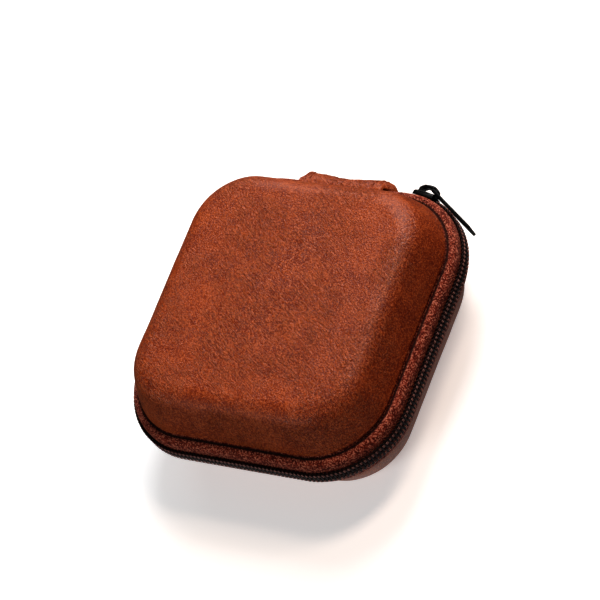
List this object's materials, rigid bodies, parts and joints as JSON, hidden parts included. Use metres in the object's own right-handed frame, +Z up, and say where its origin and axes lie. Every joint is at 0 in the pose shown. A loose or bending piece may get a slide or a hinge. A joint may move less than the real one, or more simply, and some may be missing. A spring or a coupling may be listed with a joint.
{
  "type": "earphone carrying case",
  "caption": "Small square zip-round clamshell case: two padded leatherette shells with rounded corners, a back gusset hinge and a zip slider with a flat tab puller.",
  "frame": {"origin": "the middle of the flat the closed case lies on, under its base", "axes": "+Z up out of the lid, +Y towards the gusset at the back, +X along the fold towards the end where the slider is parked"},
  "size_m": [0.0808, 0.0842, 0.035],
  "materials": {
    "leatherette": "fine pebble grain, satin",
    "foam": "moulded foam, matt",
    "lining": "knitted polyester, matt",
    "ribbon": "woven ribbon, matt",
    "net": "elastic net",
    "zipper_tape": "woven twill",
    "coil": "nylon monofilament",
    "black_metal": "gloss black enamel"
  },
  "bodies": {
    "base": {"base_skin": "leatherette", "base_core": "foam", "base_lining": "lining", "base_rim_binding": "ribbon", "base_zipper_tape": "zipper_tape", "base_zipper_coil": "coil", "hinge_gusset_base": "leatherette", "hinge_lining_base": "lining"},
    "lid": {"lid_skin": "leatherette", "lid_core": "foam", "lid_lining": "lining", "lid_rim_binding": "ribbon", "lid_zipper_tape": "zipper_tape", "lid_zipper_coil": "coil", "hinge_gusset_lid": "leatherette", "hinge_lining_lid": "lining", "mesh_pocket": "net", "pocket_elastic": "ribbon"},
    "slider": {"slider_body": "black_metal", "slider_crown": "black_metal"},
    "puller": {"puller_tab": "black_metal"}
  },
  "joints": [
    {"name": "lid_hinge", "type": "hinge", "parent": "base", "child": "lid", "pos_m": [0, 0.0431, 0.016], "axis": [-1, 0, 0], "range_deg": [0, 168]},
    {"name": "slider_run", "type": "hinge", "parent": "base", "child": "slider", "pos_m": [0.0185, 0.0185, 0.0175], "axis": [0, 0, 1], "range_deg": [-50, 0]},
    {"name": "puller_swing", "type": "hinge", "parent": "slider", "child": "puller", "pos_m": [0.02333, 0.04217, 0.0175], "axis": [0, 0, 1], "range_deg": [0, 165]}
  ]
}
